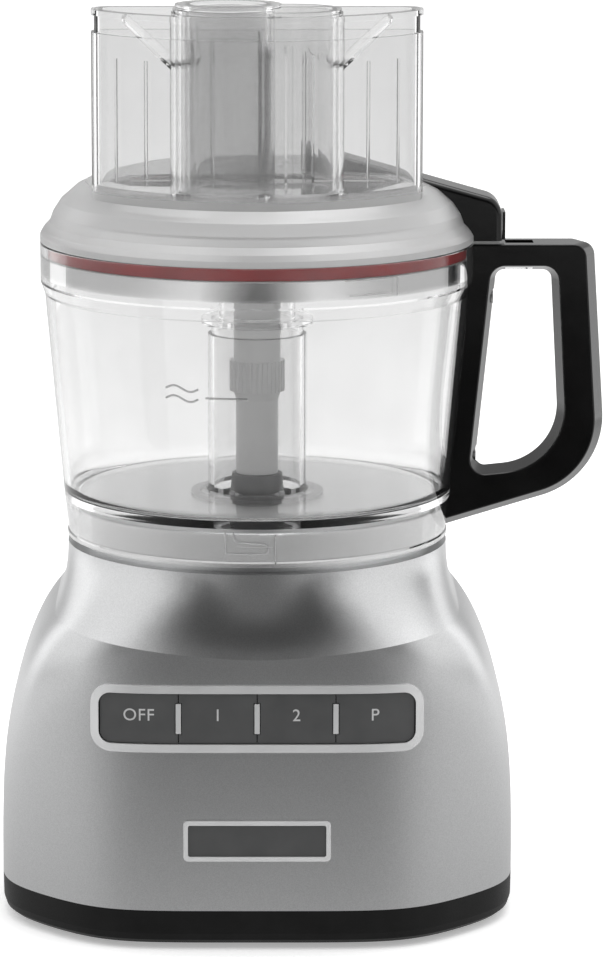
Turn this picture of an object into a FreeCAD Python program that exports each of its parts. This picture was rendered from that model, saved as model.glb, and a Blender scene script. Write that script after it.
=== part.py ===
import FreeCAD, Part
import math
import operator
import os
import Sketcher
from FreeCAD import Placement, Rotation, Vector

# Countertop food processor: motor base, clear work bowl with a side handle, domed lid
# with a wide feed tube, and three pushers that nest in one another.
# Frame: origin on the drive axis in the plane the feet stand on, +Z up, handle on +X,
# controls on -Y. Millimetres and degrees.

SIZES = {
    # base housing, tray and feet
    "base_half_width": 116.5,
    "base_half_depth": 94.0,
    "base_squareness": 4.4,
    "facet_reach": 165.5,
    "shoulder_facet_reach": 182.0,
    "shoulder_half_width": 91.0,
    "shoulder_half_depth": 91.5,
    "shoulder_rise": 11.0,
    "neck_radius": 86.0,
    "tray_foot_gap": 2.5,
    "tray_seam_height": 18.0,
    "shoulder_height": 131.0,
    "deck_height": 168.0,
    "housing_wall": 3.0,
    "tray_floor": 3.5,
    "tray_undercut": 3.5,
    "tray_lip_height": 3.0,
    "tray_lip_thickness": 1.8,
    "tray_lip_clearance": 0.5,
    "foot_radius": 9.0,
    "foot_plug_radius": 4.0,
    "foot_place_across": 76.0,
    "foot_place_deep": 62.0,
    "post_radius": 5.0,
    "post_height": 34.0,
    "post_place_across": 93.0,
    "post_place_deep": 34.0,
    "screw_radius": 1.6,
    "screw_head_radius": 3.4,
    "screw_head_height": 2.2,
    "vent_width": 3.0,
    "vent_length": 46.0,
    "vent_pitch": 8.0,
    "hub_hole_radius": 17.0,
    # control panel and badge on the curved front
    "panel_height": 105.0,
    "bezel_width": 146.8,
    "bezel_tall": 30.0,
    "bezel_corner": 9.0,
    "bezel_band": 3.6,
    "bezel_proud": 1.8,
    "bezel_rim": 1.2,
    "button_proud": 0.6,
    "button_depth": 4.0,
    "button_gap": 0.4,
    "button_travel": 1.5,
    "button_stem_radius": 3.0,
    "button_clearance": 0.35,
    "bar_spacing": 34.6,
    "bar_width": 2.3,
    "bar_tall": 13.4,
    "bar_proud": 1.0,
    "carrier_depth": 2.5,
    "carrier_margin": 2.0,
    "board_distance": 74.0,
    "board_thickness": 1.6,
    "switch_side": 6.0,
    "switch_depth": 3.4,
    "badge_height": 50.0,
    "badge_width": 65.0,
    "badge_tall": 18.2,
    "badge_corner": 2.0,
    "badge_band": 2.0,
    "badge_proud": 1.5,
    "badge_plate_proud": 0.6,
    # cord inlet at the back
    "inlet_height": 42.0,
    "inlet_radius": 6.5,
    "inlet_collar": 2.0,
    "cord_radius": 3.6,
    # drive train
    "chassis_height": 40.0,
    "chassis_thickness": 3.0,
    "motor_place": 50.0,
    "stator_side": 62.0,
    "stator_height": 34.0,
    "stator_bore": 20.5,
    "rotor_radius": 20.0,
    "motor_shaft_radius": 4.0,
    "end_plate_thickness": 4.0,
    "motor_length": 90.0,
    "stator_lift": 26.0,
    "bearing_radius": 11.0,
    "bearing_height": 7.0,
    "commutator_radius": 11.0,
    "commutator_height": 11.0,
    "fan_radius": 27.0,
    "fan_height": 8.0,
    "fan_blades": 12,
    "pulley_radius": 36.0,
    "motor_pulley_radius": 9.0,
    "belt_width": 10.0,
    "belt_thickness": 2.0,
    "belt_gap": 0.3,
    "spindle_radius": 5.0,
    "running_fit": 0.05,
    "tower_wall": 3.0,
    "coupling_radius": 12.4,
    "coupling_height": 11.0,
    "drive_peg_radius": 5.6,
    "drive_peg_height": 15.0,
    # seat on the deck, and the work bowl
    "seat_radius": 80.0,
    "seat_height": 18.0,
    "seat_wall": 3.0,
    "lug_reach": 2.4,
    "lug_height": 3.0,
    "lug_width": 14.0,
    "gasket_inner": 26.0,
    "gasket_width": 4.0,
    "gasket_thickness": 1.6,
    "seat_clearance": 0.3,
    "bowl_foot_gap": 3.3,
    "bowl_foot_radius": 86.2,
    "bowl_waist_radius": 85.7,
    "bowl_floor_radius": 87.6,
    "bowl_shoulder_radius": 95.7,
    "bowl_rim_radius": 97.7,
    "bowl_rim_band": 18.0,
    "bowl_step": 5.5,
    "bowl_depth": 113.5,
    "bowl_wall": 3.0,
    "bowl_floor": 3.0,
    "bowl_corner": 5.0,
    "column_radius": 22.3,
    "column_wall": 2.5,
    "column_height": 71.0,
    # drive stem inside the bowl
    "stem_radius": 9.6,
    "stem_length": 82.0,
    "stem_body_radius": 12.5,
    "stem_neck_radius": 10.6,
    "knurl_height": 14.0,
    "knurl_band": 1.6,
    "knurl_count": 36,
    "stem_collar_radius": 25.3,
    "stem_collar_thickness": 2.8,
    "stem_collar_gap": 4.8,
    "stem_skirt_radius": 20.9,
    "stem_hub_radius": 17.3,
    "stem_hub_wall": 1.8,
    # handle
    "handle_half_width": 10.5,
    "handle_top_step": 1.1,
    "handle_bevel": 4.4,
    "opening_bevel": 3.0,
    "handle_reach": 54.0,
    "handle_top_bar": 12.7,
    "handle_grip": 20.0,
    "handle_lean": 5.5,
    "handle_drop": 107.6,
    "handle_rise": 23.0,
    "handle_corner": 38.0,
    "opening_corner": 27.0,
    "opening_inset": 10.1,
    "opening_depth": 90.0,
    "handle_top_corner": 6.0,
    "opening_small_corner": 4.0,
    "handle_edge": 0.8,
    "screw_sink": 1.8,
    "slot_reach": 14.0,
    "slot_length": 12.6,
    "slot_half_width": 5.0,
    "slot_depth": 12.5,
    "plunger_drop": 2.0,
    "plunger_height": 4.0,
    "spring_wire": 0.4,
    "handle_screw_high": 26.0,
    "handle_screw_low": 98.0,
    "handle_screw_head": 1.6,
    "handle_screw_entry": 4.5,
    "bracket_reach": 6.0,
    "bracket_root": 3.0,
    "bracket_width": 12.0,
    "bracket_tall": 10.0,
    # lid and seal
    "lid_gap": 0.3,
    "lid_flange": 2.8,
    "lid_ledge": 5.6,
    "lid_dome_radius": 91.8,
    "lid_dome_height": 33.0,
    "lid_wall": 2.5,
    "lid_skirt_radius": 93.9,
    "lid_skirt_depth": 15.0,
    "seal_height": 5.6,
    "seal_thickness": 2.5,
    "seal_reach": 0.5,
    "tube_radius": 83.0,
    "tube_half_width": 73.0,
    "tube_back": 20.0,
    "tube_corner": 10.0,
    "tube_wall": 2.5,
    "tube_height": 96.2,
    "arm_half_width": 12.5,
    "arm_reach": 109.7,
    "arm_root": 19.0,
    "arm_tip_height": 18.4,
    "arm_knuckle": 9.0,
    "arm_edge": 2.6,
    "arm_tab_gap": 0.5,
    "arm_tab_thickness": 1.2,
    "arm_tab_width": 14.0,
    "arm_tab_height": 12.5,
    "arm_top_height": 44.0,
    # pushers
    "pusher_clearance": 0.6,
    "pusher_wall": 2.0,
    "pusher_floor": 2.5,
    "pusher_collar": 7.3,
    "pusher_collar_inset": 1.4,
    "pusher_flange": 2.4,
    "pusher_length": 70.0,
    "well_half_width": 37.5,
    "well_half_depth": 25.5,
    "well_place": 51.0,
    "well_corner": 23.0,
    "funnel_width": 20.0,
    "funnel_drop": 19.0,
    "small_well_radius": 20.4,
    "small_well_place": 12.6,
    "small_cap_radius": 23.3,
    "small_cap_height": 1.8,
    "medium_flange": 1.2,
}


class Length:
    """A number together with the sheet expression that gives it."""

    def __init__(self, number, text):
        self.number = number
        self.text = text

    def __add__(self, other):
        return combine(self, "+", other)

    def __radd__(self, other):
        return combine(other, "+", self)

    def __sub__(self, other):
        return combine(self, "-", other)

    def __rsub__(self, other):
        return combine(other, "-", self)

    def __mul__(self, other):
        return combine(self, "*", other)

    def __rmul__(self, other):
        return combine(other, "*", self)

    def __truediv__(self, other):
        return combine(self, "/", other)

    def __neg__(self):
        return combine(0.0, "-", self)


OPERATIONS = {"+": operator.add, "-": operator.sub, "*": operator.mul, "/": operator.truediv}


def as_length(value):
    """A Length as it is; a plain number as a Length of that number."""
    if isinstance(value, Length):
        return value
    return Length(float(value), str(float(value)))


def combine(left, sign, right):
    """The sum, difference, product or quotient of two lengths, kept as a formula."""
    left = as_length(left)
    right = as_length(right)
    number = OPERATIONS[sign](left.number, right.number)
    return Length(number, f"({left.text} {sign} {right.text})")


class SizeSheet:
    """Every driving size as an attribute, held in the document's spreadsheet."""

    def __init__(self, sizes):
        sheet = doc.addObject("Spreadsheet::Sheet", "dims")
        for row, (name, value) in enumerate(sizes.items(), start=1):
            sheet.set(f"A{row}", str(value))
            sheet.setAlias(f"A{row}", name)
            setattr(self, name, Length(float(value), f"dims.{name}"))


doc = FreeCAD.newDocument("food_processor")
size = SizeSheet(SIZES)
doc.recompute()
subparts = []
front_solids = {}

ALONG_X = Rotation(Vector(0, 1, 0), 90)
ALONG_Y = Rotation(Vector(1, 0, 0), -90)

# Heights that several pieces share.
deck = size.deck_height
seat_top = deck + size.seat_height
bowl_foot = deck + size.bowl_foot_gap
bowl_under = seat_top + size.seat_clearance * 2 + size.gasket_thickness
bowl_floor_top = bowl_under + size.bowl_floor
bowl_rim = bowl_floor_top + size.bowl_depth
handle_top = bowl_rim - size.handle_top_step
lid_rest = bowl_rim + size.lid_gap
dome_top = lid_rest + size.lid_dome_height
tube_top = lid_rest + size.tube_height
pusher_rest = tube_top + size.lid_gap
pusher_top = pusher_rest + size.pusher_collar + size.pusher_flange
column_top = bowl_floor_top + size.column_height
chassis_top = size.chassis_height + size.chassis_thickness


# ---------------------------------------------------------------- building blocks

def bind(thing, prop, value):
    """Tie a property to the formula of a length."""
    thing.setExpression(prop, as_length(value).text)


def place(thing, x=0, y=0, z=0, rotation=None):
    """Put a thing at a point given by lengths, turned by a rotation."""
    if rotation is not None:
        thing.Placement = Placement(Vector(), rotation)
    for axis, distance in zip("xyz", (x, y, z)):
        if as_length(distance).number != 0:
            bind(thing, f"Placement.Base.{axis}", distance)
    return thing


def keep(thing, node):
    """Mark a finished thing as a sub-part under its node name."""
    thing.Label = node
    subparts.append(thing)
    return thing


def cylinder(name, radius, height, x=0, y=0, z=0, rotation=None):
    rod = doc.addObject("Part::Cylinder", name)
    bind(rod, "Radius", radius)
    bind(rod, "Height", height)
    return place(rod, x, y, z, rotation)


def cone(name, lower_radius, upper_radius, height, x=0, y=0, z=0):
    taper = doc.addObject("Part::Cone", name)
    bind(taper, "Radius1", lower_radius)
    bind(taper, "Radius2", upper_radius)
    bind(taper, "Height", height)
    return place(taper, x, y, z)


def block(name, long, deep, tall, x=0, y=0, z=0):
    """A box centred on x and y, standing on z."""
    brick = doc.addObject("Part::Box", name)
    bind(brick, "Length", long)
    bind(brick, "Width", deep)
    bind(brick, "Height", tall)
    return place(brick, x - as_length(long) / 2, y - as_length(deep) / 2, z)


def fuse(name, *items):
    whole = doc.addObject("Part::MultiFuse", name)
    whole.Shapes = list(items)
    return whole


def cut(name, base, *tools):
    rest = doc.addObject("Part::Cut", name)
    rest.Base = base
    rest.Tool = tools[0] if len(tools) == 1 else fuse(f"{name}_tools", *tools)
    return rest


def common(name, base, tool):
    overlap = doc.addObject("Part::Common", name)
    overlap.Base = base
    overlap.Tool = tool
    return overlap


def group(name, *items):
    """Separate solids that share one node."""
    several = doc.addObject("Part::Compound", name)
    several.Links = list(items)
    return several


def is_upright(edge):
    """True for a straight edge that runs along Z."""
    start, end = edge.Vertexes[0].Point, edge.Vertexes[-1].Point
    return edge.Curve.TypeId == "Part::GeomLine" and math.hypot(start.x - end.x, start.y - end.y) < 1e-6


def rounded(name, base, radius, wanted=is_upright):
    """A thing with the wanted edges rounded; by default the upright ones."""
    doc.recompute()
    fillet = doc.addObject("Part::Fillet", name)
    fillet.Base = base
    reach = as_length(radius).number
    fillet.Edges = [(i, reach, reach) for i, edge in enumerate(base.Shape.Edges, start=1) if wanted(edge)]
    return fillet


def outline(body, name, plane, corners):
    """A closed sketch on one of the body's origin planes, each corner held by two lengths."""
    sketch = body.newObject("Sketcher::SketchObject", name)
    origin_plane = next(item for item in body.Origin.OriginFeatures if item.Role == plane)
    sketch.AttachmentSupport = [(origin_plane, "")]
    sketch.MapMode = "FlatFace"
    corners = [(as_length(across), as_length(up)) for across, up in corners]
    spots = [Vector(across.number, up.number, 0) for across, up in corners]
    count = len(corners)
    for i in range(count):
        sketch.addGeometry(Part.LineSegment(spots[i], spots[(i + 1) % count]))
    for i in range(count):
        sketch.addConstraint(Sketcher.Constraint("Coincident", i, 2, (i + 1) % count, 1))
    for i, (across, up) in enumerate(corners):
        for kind, length in (("DistanceX", across), ("DistanceY", up)):
            index = sketch.addConstraint(Sketcher.Constraint(kind, -1, 1, i, 1, length.number))
            bind(sketch, f"Constraints[{index}]", length)
    return sketch


def turned(name, profile, rims=()):
    """A body turned about Z from (radius, height) corners; rims are (radius, height, rounding)."""
    body = doc.addObject("PartDesign::Body", name)
    turn = body.newObject("PartDesign::Revolution", f"{name}_turn")
    turn.Profile = outline(body, f"{name}_profile", "XZ_Plane", profile)
    turn.ReferenceAxis = (turn.Profile[0], ["V_Axis"])
    turn.Angle = 360
    body.Tip = turn
    for number, (radius, height, rounding) in enumerate(rims):
        doc.recompute()
        sharp = body.Tip
        rim = rim_edge(sharp.Shape, as_length(radius).number, as_length(height).number)
        fillet = body.newObject("PartDesign::Fillet", f"{name}_rim_{number}")
        fillet.Base = (sharp, [rim])
        bind(fillet, "Radius", rounding)
        body.Tip = fillet
    return body


def rim_edge(shape, radius, height):
    """The name of the circular edge about Z nearest the given radius and height."""
    circles = [(i, edge) for i, edge in enumerate(shape.Edges, start=1)
               if edge.Curve.TypeId == "Part::GeomCircle"]
    distances = [(abs(e.Curve.Radius - radius) + abs(e.Curve.Center.z - height), i) for i, e in circles]
    return f"Edge{min(distances)[1]}"


def padded(name, corners, half_width):
    """A body padded both ways from the XZ plane."""
    body = doc.addObject("PartDesign::Body", name)
    pad = body.newObject("PartDesign::Pad", f"{name}_pad")
    pad.Profile = outline(body, f"{name}_outline", "XZ_Plane", corners)
    bind(pad, "Length", half_width * 2)
    pad.Midplane = True
    body.Tip = pad
    return body


def ring(name, outer, inner, height, x=0, y=0, z=0):
    """A tube about its own upright axis."""
    return cut(name, cylinder(f"{name}_outer", outer, height, x, y, z),
               cylinder(f"{name}_bore", inner, height, x, y, z))


def coil(name, radius, wire_radius, pitch, height, x, y, z):
    """A compression spring of round wire."""
    path = Part.makeHelix(pitch.number, height.number, radius.number)
    start = Part.Wire([Part.makeCircle(wire_radius.number, Vector(radius.number, 0, 0), Vector(0, 1, 0))])
    spring = doc.addObject("Part::Feature", name)
    spring.Shape = Part.Wire(path).makePipeShell([start], True, True)
    return place(spring, x, y, z)


# ---------------------------------------------------------------- the base's outer shape

PLAN_SECTIONS = 6
PLAN_POINTS = 60
FACET_SHARPNESS = 16


def plan_wire(half_width, half_depth, squareness, facet, height, rise=0.0):
    """A closed plan curve: a superellipse, 2 round and larger squarer, whose corners are cut off by
    flat facets at 45 degrees, where x and y add up to the facet's reach. Its sides are lifted by the rise."""
    points = []
    for step in range(PLAN_POINTS):
        turn = 2 * math.pi * step / PLAN_POINTS
        across, deep = abs(math.cos(turn)), abs(math.sin(turn))
        swell = (across / half_width) ** squareness + (deep / half_depth) ** squareness
        spread = swell ** (FACET_SHARPNESS / squareness) + ((across + deep) / facet) ** FACET_SHARPNESS
        reach = spread ** (-1 / FACET_SHARPNESS)
        lift = rise * (reach * across / half_width) ** 1.6
        points.append(Vector(reach * math.cos(turn), reach * math.sin(turn), height + lift))
    curve = Part.BSplineCurve()
    curve.interpolate(points, PeriodicFlag=True)
    return Part.Wire([curve.toShape()])


def lower_plan(share):
    """Half width, half depth, squareness, facet, height and rise, from the tray seam to the shoulder."""
    swell = max(0.0, 1 - share ** 3.4) ** 0.8
    return (mix(size.shoulder_half_width, size.base_half_width, swell),
            mix(size.base_half_depth, size.shoulder_half_depth, share),
            size.base_squareness.number,
            mix(size.facet_reach, size.shoulder_facet_reach, share ** 4),
            mix(size.tray_seam_height, size.shoulder_height, share),
            size.shoulder_rise.number * share ** 3)


def neck_plan(share, top):
    """The same from the shoulder up to a round and flat top."""
    fall = (1 - share) ** 2.6
    return (mix(size.neck_radius, size.shoulder_half_width, fall),
            mix(size.neck_radius, size.shoulder_half_depth, fall),
            mix(as_length(2), size.base_squareness, fall ** 0.6),
            size.shoulder_facet_reach.number,
            mix(size.shoulder_height, as_length(top), share),
            size.shoulder_rise.number * (1 - share))


def mix(start, end, share):
    return start.number + (end.number - start.number) * share


def drawn(plan, inset):
    """A plan section, drawn in by the inset."""
    half_width, half_depth, squareness, facet, height, rise = plan
    return plan_wire(half_width - inset, half_depth - inset, squareness, facet - inset * math.sqrt(2),
                     height, rise)


def base_shape(inset, top):
    """The filled outer shape of the base, with a crease at its shoulder, drawn in by the inset."""
    steps = [i / PLAN_SECTIONS for i in range(PLAN_SECTIONS + 1)]
    lower = [drawn(lower_plan(1 - (1 - step) ** 1.4), inset) for step in steps]
    upper = [lower[-1]] + [drawn(neck_plan(step, top), inset) for step in steps[1:]]
    faces = Part.makeLoft(lower, False, False).Faces + Part.makeLoft(upper, False, False).Faces
    shell = Part.Shell(faces + [Part.Face(lower[0]), Part.Face(upper[-1])])
    shell.sewShape()
    return Part.Solid(shell)


def base_solid(name, inset, top):
    solid = doc.addObject("Part::Feature", name)
    solid.Shape = base_shape(inset, top)
    return solid


def tray_solid(name, inset, low, high, undercut=0.0):
    """The filled outer shape below the seam, drawn in at its foot by the undercut."""
    wires = []
    for share, pull in ((0.0, 1.0), (0.12, 0.35), (0.32, 0.06), (1.0, 0.0)):
        height = low + (high - low) * share
        step = inset + undercut * pull
        plan = (size.base_half_width.number, size.base_half_depth.number, size.base_squareness.number,
                size.facet_reach.number, height, 0.0)
        wires.append(drawn(plan, step))
    solid = doc.addObject("Part::Feature", name)
    solid.Shape = Part.makeLoft(wires, True, True)
    return solid


def front_prism(name, wide, tall, corner, height):
    """A rounded bar through the front of the base, centred on the given height."""
    deep = size.base_half_depth + 20
    bar = block(f"{name}_bar", wide, deep, tall, 0, -deep / 2, height - tall / 2)

    def runs_deep(edge):
        start, end = edge.Vertexes[0].Point, edge.Vertexes[-1].Point
        return abs(start.y - end.y) > 1
    return rounded(name, bar, corner, runs_deep)


def front_solid(offset):
    """The front of the filled base below its shoulder, grown outward by the offset, made once each."""
    outward = round(as_length(offset).number, 6)
    if outward not in front_solids:
        solid = doc.addObject("Part::Feature", f"front_offset_{len(front_solids)}")
        low, high = size.tray_seam_height.number, size.shoulder_height.number
        wide, deep = size.bezel_width.number + 16, size.base_half_depth.number
        window = Part.makeBox(wide, deep, high - low, Vector(-wide / 2, -deep * 1.5, low))
        solid.Shape = base_shape(-outward, deck).common(window)
        front_solids[outward] = solid
    return front_solids[outward]


def front_layer(name, bar, outer, inner):
    """The part of a bar that lies between two offsets of the base's outer surface."""
    return cut(name, common(f"{name}_capped", bar, front_solid(outer)), front_solid(inner))


# ---------------------------------------------------------------- base

def post_places():
    return [(size.post_place_across * i, size.post_place_deep * j) for i in (-1, 1) for j in (-1, 1)]


def foot_places():
    return [(size.foot_place_across * i, size.foot_place_deep * j) for i in (-1, 1) for j in (-1, 1)]


def make_housing():
    outer = base_solid("housing_outer", 0.0, deck)
    inner = base_solid("housing_inner", size.housing_wall.number, deck - size.housing_wall)
    shell = cut("housing_shell", outer, inner)
    limit = base_solid("housing_limit", size.housing_wall.number / 2, deck - size.housing_wall)
    posts = []
    for i, (x, y) in enumerate(post_places()):
        foot = size.tray_seam_height + size.tray_lip_height + 1
        side = 1 if x.number > 0 else -1
        boss = cylinder(f"post_{i}", size.post_radius, size.post_height, x, y, foot)
        rib = block(f"post_rib_{i}", 30, size.housing_wall, size.post_height, x + side * 15, y, foot)
        posts.append(fuse(f"post_with_rib_{i}", boss, rib))
    posts = common("housing_posts", fuse("post_group", *posts), limit)
    bores = [cylinder(f"post_bore_{i}", size.screw_radius, size.post_height, x, y,
                      size.tray_seam_height + size.tray_lip_height + 1)
             for i, (x, y) in enumerate(post_places())]
    opening = front_prism("panel_opening", size.bezel_width - (size.bezel_band - size.bezel_rim) * 2,
                          size.bezel_tall - (size.bezel_band - size.bezel_rim) * 2,
                          size.bezel_corner - size.bezel_band + size.bezel_rim, size.panel_height)
    hub = cylinder("deck_hole", size.hub_hole_radius, 20, 0, 0, deck - 10)
    inlet = cylinder("inlet_hole", size.inlet_radius, 40, 0, size.base_half_depth - 20,
                     size.inlet_height, ALONG_Y)
    vents = []
    for i in range(9):
        across = size.vent_pitch * (i - 4)
        vents.append(block(f"back_vent_{i}", size.vent_width, 40, 24, across, size.base_half_depth,
                           size.inlet_height + size.inlet_radius * 3))
    solid = fuse("housing_with_posts", shell, posts)
    keep(cut("base_housing_body", solid, opening, hub, inlet, *vents, *bores), "base_housing")


def make_tray():
    seam = size.tray_seam_height.number
    low = size.tray_foot_gap.number
    outer = tray_solid("tray_outer", 0.0, low, seam, size.tray_undercut.number)
    wall = size.housing_wall.number + size.tray_lip_clearance.number
    lip = tray_solid("tray_lip", wall, seam - 6, seam + size.tray_lip_height.number)
    hollow = tray_solid("tray_hollow", wall + size.tray_lip_thickness.number,
                        low + size.tray_floor.number, seam + size.tray_lip_height.number + 1)
    shell = cut("tray_shell", fuse("tray_filled", outer, lip), hollow)
    floor_top = size.tray_foot_gap + size.tray_floor
    post_top = size.tray_seam_height + size.tray_lip_height + 1
    columns = [cylinder(f"tray_post_{i}", size.post_radius, post_top - size.tray_foot_gap - 1, x, y,
                        size.tray_foot_gap + 1) for i, (x, y) in enumerate(post_places())]
    holes = []
    for i, (x, y) in enumerate(post_places()):
        holes.append(cylinder(f"tray_bore_{i}", size.screw_radius, 60, x, y, 0))
        holes.append(cylinder(f"tray_sink_{i}", size.screw_head_radius + 0.3,
                              size.tray_foot_gap + size.screw_head_height + 1, x, y, 0))
    for i, (x, y) in enumerate(foot_places()):
        holes.append(cylinder(f"foot_hole_{i}", size.foot_plug_radius, floor_top + 1, x, y, 0))
    for i in range(9):
        holes.append(block(f"floor_vent_{i}", size.vent_width, size.vent_length, floor_top + 2,
                           size.vent_pitch * (i - 4), 0, -1))
    keep(cut("base_tray_body", fuse("tray_with_posts", shell, *columns), *holes), "base_tray")


def make_feet_and_screws():
    feet = []
    for i, (x, y) in enumerate(foot_places()):
        pad = cone(f"foot_pad_{i}", size.foot_radius - 1, size.foot_radius, size.tray_foot_gap, x, y, 0)
        plug = cylinder(f"foot_plug_{i}", size.foot_plug_radius, size.tray_foot_gap + size.tray_floor,
                        x, y, 0)
        feet.append(fuse(f"foot_{i}", pad, plug))
    keep(group("feet", *feet), "rubber_feet")
    screws = []
    for i, (x, y) in enumerate(post_places()):
        seat = size.tray_foot_gap + 1
        head = cylinder(f"tray_screw_head_{i}", size.screw_head_radius, size.screw_head_height, x, y, seat)
        shank = cylinder(f"tray_screw_shank_{i}", size.screw_radius, size.post_height, x, y, seat)
        screws.append(fuse(f"tray_screw_{i}", head, shank))
    keep(group("screws_in_tray", *screws), "tray_screws")


def make_seat():
    lug_top = deck + size.seat_height / 2
    body = turned("seat_body", [
        (size.hub_hole_radius, seat_top - size.seat_wall),
        (size.seat_radius - size.seat_wall, seat_top - size.seat_wall),
        (size.seat_radius - size.seat_wall, deck),
        (size.seat_radius, deck),
        (size.seat_radius, seat_top),
        (size.hub_hole_radius, seat_top),
    ], rims=[(size.seat_radius, seat_top, size.seat_wall / 2)])
    bar = size.seat_radius * 2 + size.lug_reach * 2
    lugs = [block("lug_bar_across", bar, size.lug_width, size.lug_height, 0, 0, lug_top),
            block("lug_bar_deep", size.lug_width, bar, size.lug_height, 0, 0, lug_top)]
    band = ring("lug_band", size.seat_radius + size.lug_reach, size.seat_radius - size.seat_wall / 2,
                size.seat_height, 0, 0, deck)
    lugs = common("seat_lugs", fuse("lug_cross", *lugs), band)
    keep(fuse("bowl_seat_body", body, lugs), "bowl_seat")


# ---------------------------------------------------------------- control panel and badge

def bar_places():
    return [size.bar_spacing * i for i in (-1, 0, 1)]


def panel_prism(name, inset, corner_gain=0.0):
    """The panel's rounded outline, drawn in from the bezel's outer edge."""
    return front_prism(name, size.bezel_width - inset * 2, size.bezel_tall - inset * 2,
                       size.bezel_corner - inset + corner_gain, size.panel_height)


def make_bezel():
    band = cut("bezel_band_bar", panel_prism("bezel_outer", as_length(0.0)),
               panel_prism("bezel_inner", size.bezel_band))
    rim = cut("bezel_rim_bar", panel_prism("bezel_rim_outer", size.bezel_band - size.bezel_rim),
              panel_prism("bezel_rim_inner", size.bezel_band))
    face = front_layer("bezel_face", band, size.bezel_proud, 0.0)
    wall = front_layer("bezel_wall", rim, size.bezel_proud / 2, -size.housing_wall)
    keep(fuse("bezel_body", face, wall), "control_bezel")


def make_buttons():
    field = panel_prism("button_field", size.bezel_band + size.button_gap)
    faces = front_layer("button_faces", field, size.button_proud, -size.button_depth)
    notch_tall = size.bar_tall + size.button_clearance * 2
    notch_wide = size.bar_width + size.button_clearance * 2
    notches = [block(f"bar_notch_{i}", notch_wide, 60, notch_tall, x, -size.base_half_depth,
                     size.panel_height - notch_tall / 2) for i, x in enumerate(bar_places())]
    slits = [block(f"button_slit_{i}", size.button_gap, 60, size.bezel_tall, x, -size.base_half_depth,
                   size.panel_height - size.bezel_tall / 2) for i, x in enumerate(bar_places())]
    blank = cut("button_blank", faces, *notches, *slits)
    stem_end = size.board_distance + size.switch_depth + size.button_travel + 0.2
    stem_start = size.base_half_depth - size.button_depth - 3
    for i, node in enumerate(("button_off", "button_low", "button_high", "button_pulse")):
        middle = size.bar_spacing * (i - 1.5)
        slab = block(f"button_slab_{i}", size.bar_spacing, 60, size.bezel_tall, middle,
                     -size.base_half_depth, size.panel_height - size.bezel_tall / 2)
        cap = common(f"button_cap_{i}", blank, slab)
        stem = cylinder(f"button_stem_{i}", size.button_stem_radius, stem_start - stem_end, middle,
                        -stem_start, size.panel_height, ALONG_Y)
        root = cylinder(f"button_root_{i}", size.button_stem_radius, size.base_half_depth - stem_end,
                        middle, -size.base_half_depth, size.panel_height, ALONG_Y)
        bridge = common(f"button_bridge_{i}", root, front_solid(1 - size.button_depth))
        keep(fuse(f"{node}_body", cap, stem, bridge), node)


def make_carrier():
    back = size.button_depth + size.button_travel + 1
    rear = back + size.carrier_depth
    spread = -size.carrier_margin
    plate = front_layer("carrier_plate", panel_prism("carrier_outer", spread), -back, -rear)
    wall = cut("carrier_wall_bar", panel_prism("carrier_wall_outer", spread), panel_prism(
        "carrier_wall_inner", size.bezel_band - size.bezel_rim - 1.6))
    frame = front_layer("carrier_frame", wall, -size.housing_wall, -rear)
    posts = []
    for i, (side, level) in enumerate([(a, b) for a in (-1, 1) for b in (-1, 1)]):
        posts.append(cylinder(f"board_post_{i}", size.button_stem_radius, 24, size.bar_spacing * 1.55 * side,
                              -size.board_distance - 24, size.panel_height + size.bezel_tall * 0.36 * level,
                              ALONG_Y))
    posts = common("board_posts", fuse("board_post_group", *posts), front_solid(-(back + rear) / 2))
    holes = [cylinder(f"stem_hole_{i}", size.button_stem_radius + size.button_clearance, 60,
                      size.bar_spacing * (i - 1.5), -size.base_half_depth - 10, size.panel_height, ALONG_Y)
             for i in range(4)]
    keep(cut("carrier_body", fuse("carrier_filled", plate, frame, posts), *holes), "button_carrier")
    bars = [block(f"bar_{i}", size.bar_width, 60, size.bar_tall, x, -size.base_half_depth,
                  size.panel_height - size.bar_tall / 2) for i, x in enumerate(bar_places())]
    keep(group("bars", *[front_layer(f"separator_{i}", bar, size.bar_proud, -back)
                         for i, bar in enumerate(bars)]), "separator_bars")


def make_board():
    long = size.bar_spacing * 4 - 20
    board = block("board", long, size.board_thickness, size.bezel_tall - 4, 0,
                  -size.board_distance + size.board_thickness / 2, size.panel_height - size.bezel_tall / 2 + 2)
    keep(board, "control_board")
    switches = [block(f"switch_{i}", size.switch_side, size.switch_depth, size.switch_side,
                      size.bar_spacing * (i - 1.5), -size.board_distance - size.switch_depth / 2,
                      size.panel_height - size.switch_side / 2) for i in range(4)]
    keep(group("switches", *switches), "tact_switches")


def make_badge():
    outer = front_prism("badge_outer", size.badge_width, size.badge_tall, size.badge_corner, size.badge_height)
    inner = front_prism("badge_inner", size.badge_width - size.badge_band * 2,
                        size.badge_tall - size.badge_band * 2, size.badge_corner / 2, size.badge_height)
    keep(front_layer("badge_frame_body", cut("badge_band", outer, inner), size.badge_proud, 0.0),
         "badge_frame")
    keep(front_layer("badge_plate_body", inner, size.badge_plate_proud, 0.0), "badge_plate")


def make_gland():
    back = size.base_half_depth
    collar = cylinder("gland_collar", size.inlet_radius + size.inlet_collar, size.inlet_collar * 2,
                      0, back - 1, size.inlet_height, ALONG_Y)
    plug = cylinder("gland_plug", size.inlet_radius, 14, 0, back - 12, size.inlet_height, ALONG_Y)
    bore = cylinder("gland_bore", size.cord_radius, 60, 0, back - 30, size.inlet_height, ALONG_Y)
    outside = cut("gland_collar_outside", collar, base_solid("gland_limit", 0.0, deck))
    keep(cut("gland_body", fuse("gland_filled", outside, plug), bore), "cord_gland")


# ---------------------------------------------------------------- drive train

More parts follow.
